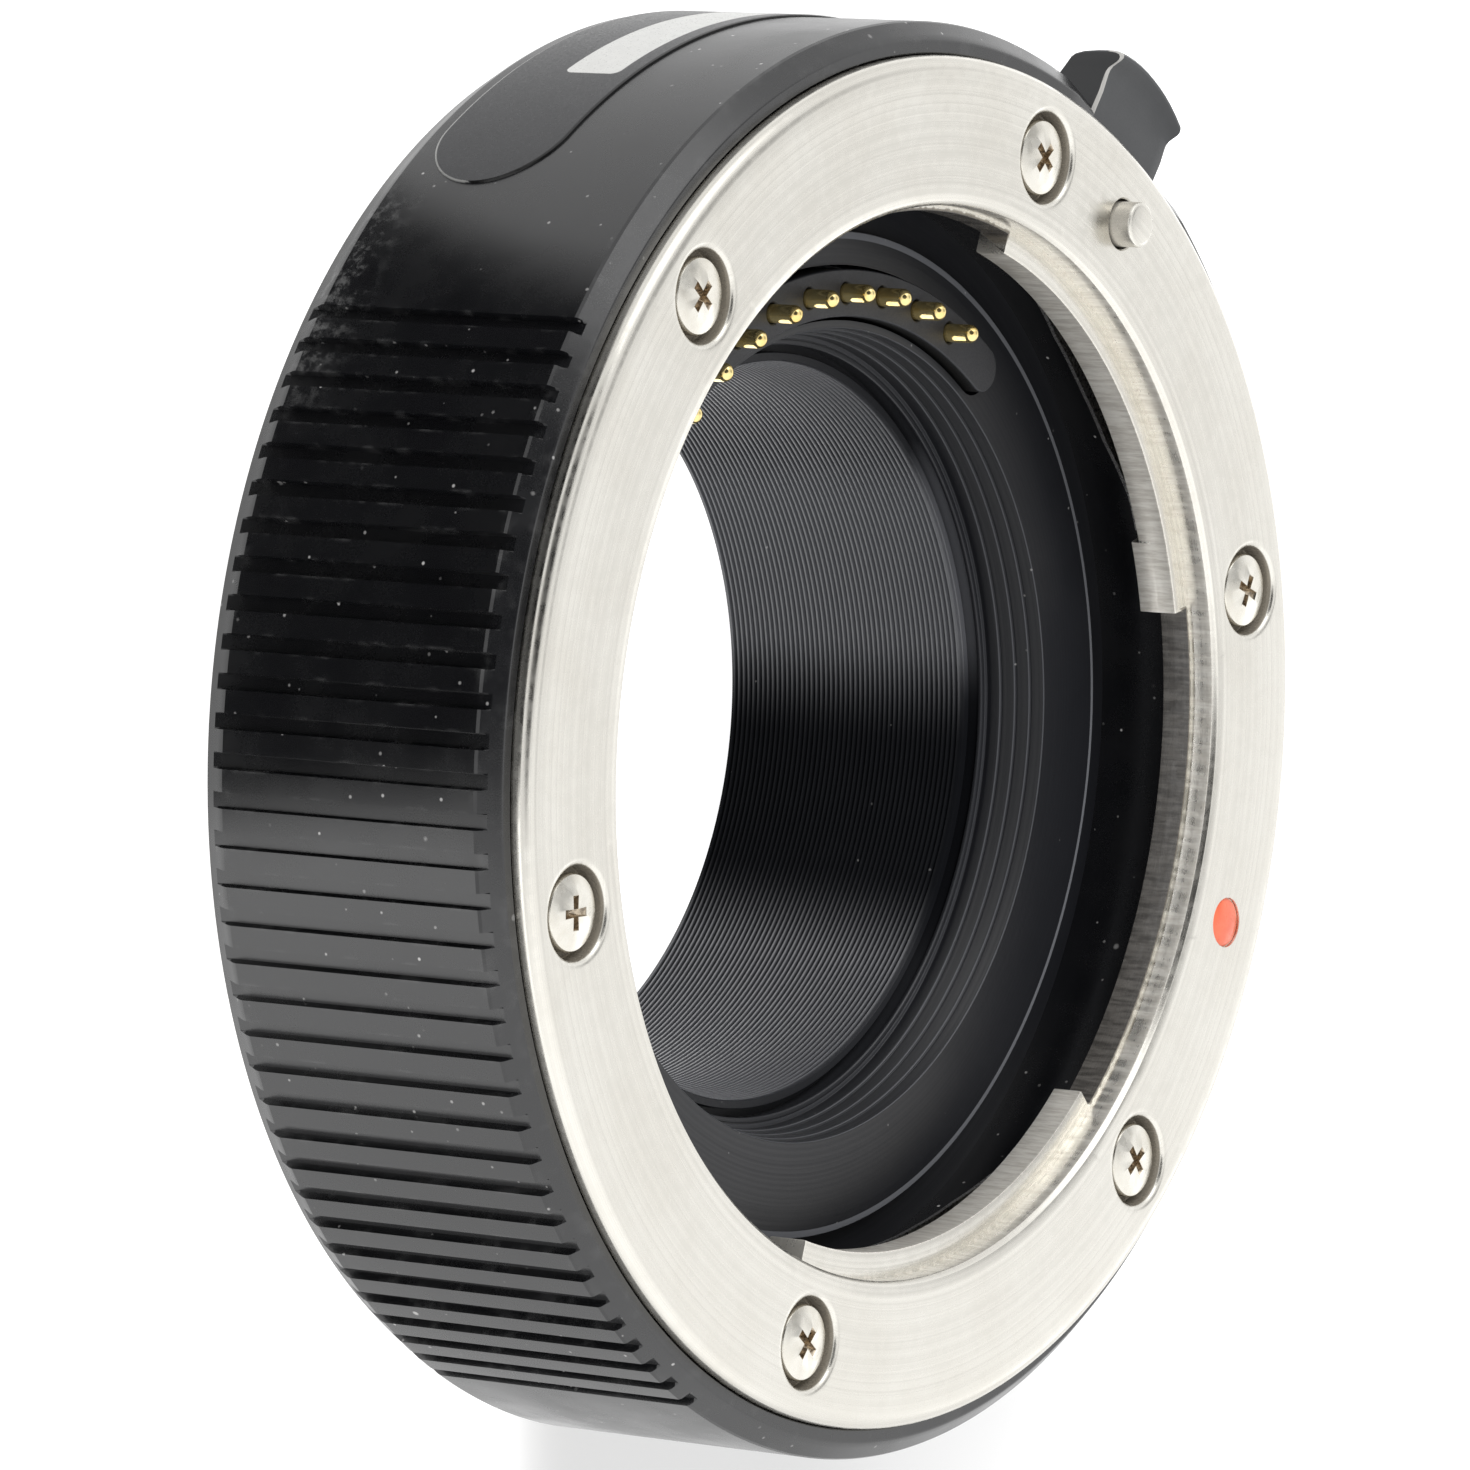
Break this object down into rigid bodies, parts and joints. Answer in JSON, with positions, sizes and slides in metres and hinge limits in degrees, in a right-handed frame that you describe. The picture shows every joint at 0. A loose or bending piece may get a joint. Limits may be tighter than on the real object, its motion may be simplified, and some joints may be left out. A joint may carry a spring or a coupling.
{
  "type": "macro extension tube",
  "caption": "Short lens extension tube: steel female bayonet in front, male bayonet behind, sprung release lever with lock pin, gold spring contacts, ribbed black barrel.",
  "frame": {"origin": "on the tube's axis at the rear end of the male bayonet, on which the tube stands", "axes": "+Z along the optical axis towards the front female bayonet, +Y towards the contacts and the label"},
  "size_m": [0.062, 0.0621, 0.0223],
  "materials": {
    "black_anodised": "satin black anodised aluminium",
    "mount_steel": "turned steel with fine circular lines",
    "screw_steel": "plain bright steel",
    "spring_steel": "spring steel",
    "lever_black": "black lacquer worn bright at the edge",
    "floor_black": "matt black anodised",
    "baffle_black": "matt black with a fine thread",
    "contact_plastic": "moulded matt black",
    "contact_gold": "gold plated",
    "board": "dark circuit board",
    "flex": "amber film",
    "label_black": "black film with a blank pale field",
    "dot_orange": "orange-red enamel"
  },
  "bodies": {
    "housing": {"barrel": "black_anodised", "front_mount_ring": "mount_steel", "front_mount_screws": "screw_steel", "bayonet_spring_1": "spring_steel", "bayonet_spring_2": "spring_steel", "bayonet_spring_3": "spring_steel", "lock_pin_spring": "spring_steel", "front_index_dot": "dot_orange", "rear_index_dot": "dot_orange", "floor_ring": "floor_black", "floor_ring_screws": "screw_steel", "contact_block": "contact_plastic", "contact_board": "board", "contact_screws": "screw_steel", "inner_baffle": "baffle_black", "rear_mount_ring": "mount_steel", "rear_mount_screws": "screw_steel", "rear_contact_block": "contact_plastic", "rear_block_screws": "screw_steel", "rear_contact_pads": "contact_gold", "contact_flex": "flex", "label": "label_black", "contact_spring_01": "spring_steel", "contact_spring_02": "spring_steel", "contact_spring_03": "spring_steel", "contact_spring_04": "spring_steel", "contact_spring_05": "spring_steel", "contact_spring_06": "spring_steel", "contact_spring_07": "spring_steel", "contact_spring_08": "spring_steel", "contact_spring_09": "spring_steel", "contact_spring_10": "spring_steel"},
    "release": {"release_lever": "lever_black", "lock_pin": "mount_steel"},
    "pin_01": {"contact_pin_01": "contact_gold"},
    "pin_02": {"contact_pin_02": "contact_gold"},
    "pin_03": {"contact_pin_03": "contact_gold"},
    "pin_04": {"contact_pin_04": "contact_gold"},
    "pin_05": {"contact_pin_05": "contact_gold"},
    "pin_06": {"contact_pin_06": "contact_gold"},
    "pin_07": {"contact_pin_07": "contact_gold"},
    "pin_08": {"contact_pin_08": "contact_gold"},
    "pin_09": {"contact_pin_09": "contact_gold"},
    "pin_10": {"contact_pin_10": "contact_gold"}
  },
  "joints": [
    {"name": "release_slide", "type": "slide", "parent": "housing", "child": "release", "axis": [0, 0, -1], "range_m": [0, 0.00115], "stiffness_N_per_m": 400, "springref_m": -0.002, "deforming": ["lock_pin_spring"]},
    {"name": "contact_01_slide", "type": "slide", "parent": "housing", "child": "pin_01", "axis": [0, 0, -1], "range_m": [0, 0.0007], "stiffness_N_per_m": 200, "springref_m": -0.0005, "deforming": ["contact_spring_01"]},
    {"name": "contact_02_slide", "type": "slide", "parent": "housing", "child": "pin_02", "axis": [0, 0, -1], "range_m": [0, 0.0007], "stiffness_N_per_m": 200, "springref_m": -0.0005, "deforming": ["contact_spring_02"]},
    {"name": "contact_03_slide", "type": "slide", "parent": "housing", "child": "pin_03", "axis": [0, 0, -1], "range_m": [0, 0.0007], "stiffness_N_per_m": 200, "springref_m": -0.0005, "deforming": ["contact_spring_03"]},
    {"name": "contact_04_slide", "type": "slide", "parent": "housing", "child": "pin_04", "axis": [0, 0, -1], "range_m": [0, 0.0007], "stiffness_N_per_m": 200, "springref_m": -0.0005, "deforming": ["contact_spring_04"]},
    {"name": "contact_05_slide", "type": "slide", "parent": "housing", "child": "pin_05", "axis": [0, 0, -1], "range_m": [0, 0.0007], "stiffness_N_per_m": 200, "springref_m": -0.0005, "deforming": ["contact_spring_05"]},
    {"name": "contact_06_slide", "type": "slide", "parent": "housing", "child": "pin_06", "axis": [0, 0, -1], "range_m": [0, 0.0007], "stiffness_N_per_m": 200, "springref_m": -0.0005, "deforming": ["contact_spring_06"]},
    {"name": "contact_07_slide", "type": "slide", "parent": "housing", "child": "pin_07", "axis": [0, 0, -1], "range_m": [0, 0.0007], "stiffness_N_per_m": 200, "springref_m": -0.0005, "deforming": ["contact_spring_07"]},
    {"name": "contact_08_slide", "type": "slide", "parent": "housing", "child": "pin_08", "axis": [0, 0, -1], "range_m": [0, 0.0007], "stiffness_N_per_m": 200, "springref_m": -0.0005, "deforming": ["contact_spring_08"]},
    {"name": "contact_09_slide", "type": "slide", "parent": "housing", "child": "pin_09", "axis": [0, 0, -1], "range_m": [0, 0.0007], "stiffness_N_per_m": 200, "springref_m": -0.0005, "deforming": ["contact_spring_09"]},
    {"name": "contact_10_slide", "type": "slide", "parent": "housing", "child": "pin_10", "axis": [0, 0, -1], "range_m": [0, 0.0007], "stiffness_N_per_m": 200, "springref_m": -0.0005, "deforming": ["contact_spring_10"]}
  ]
}
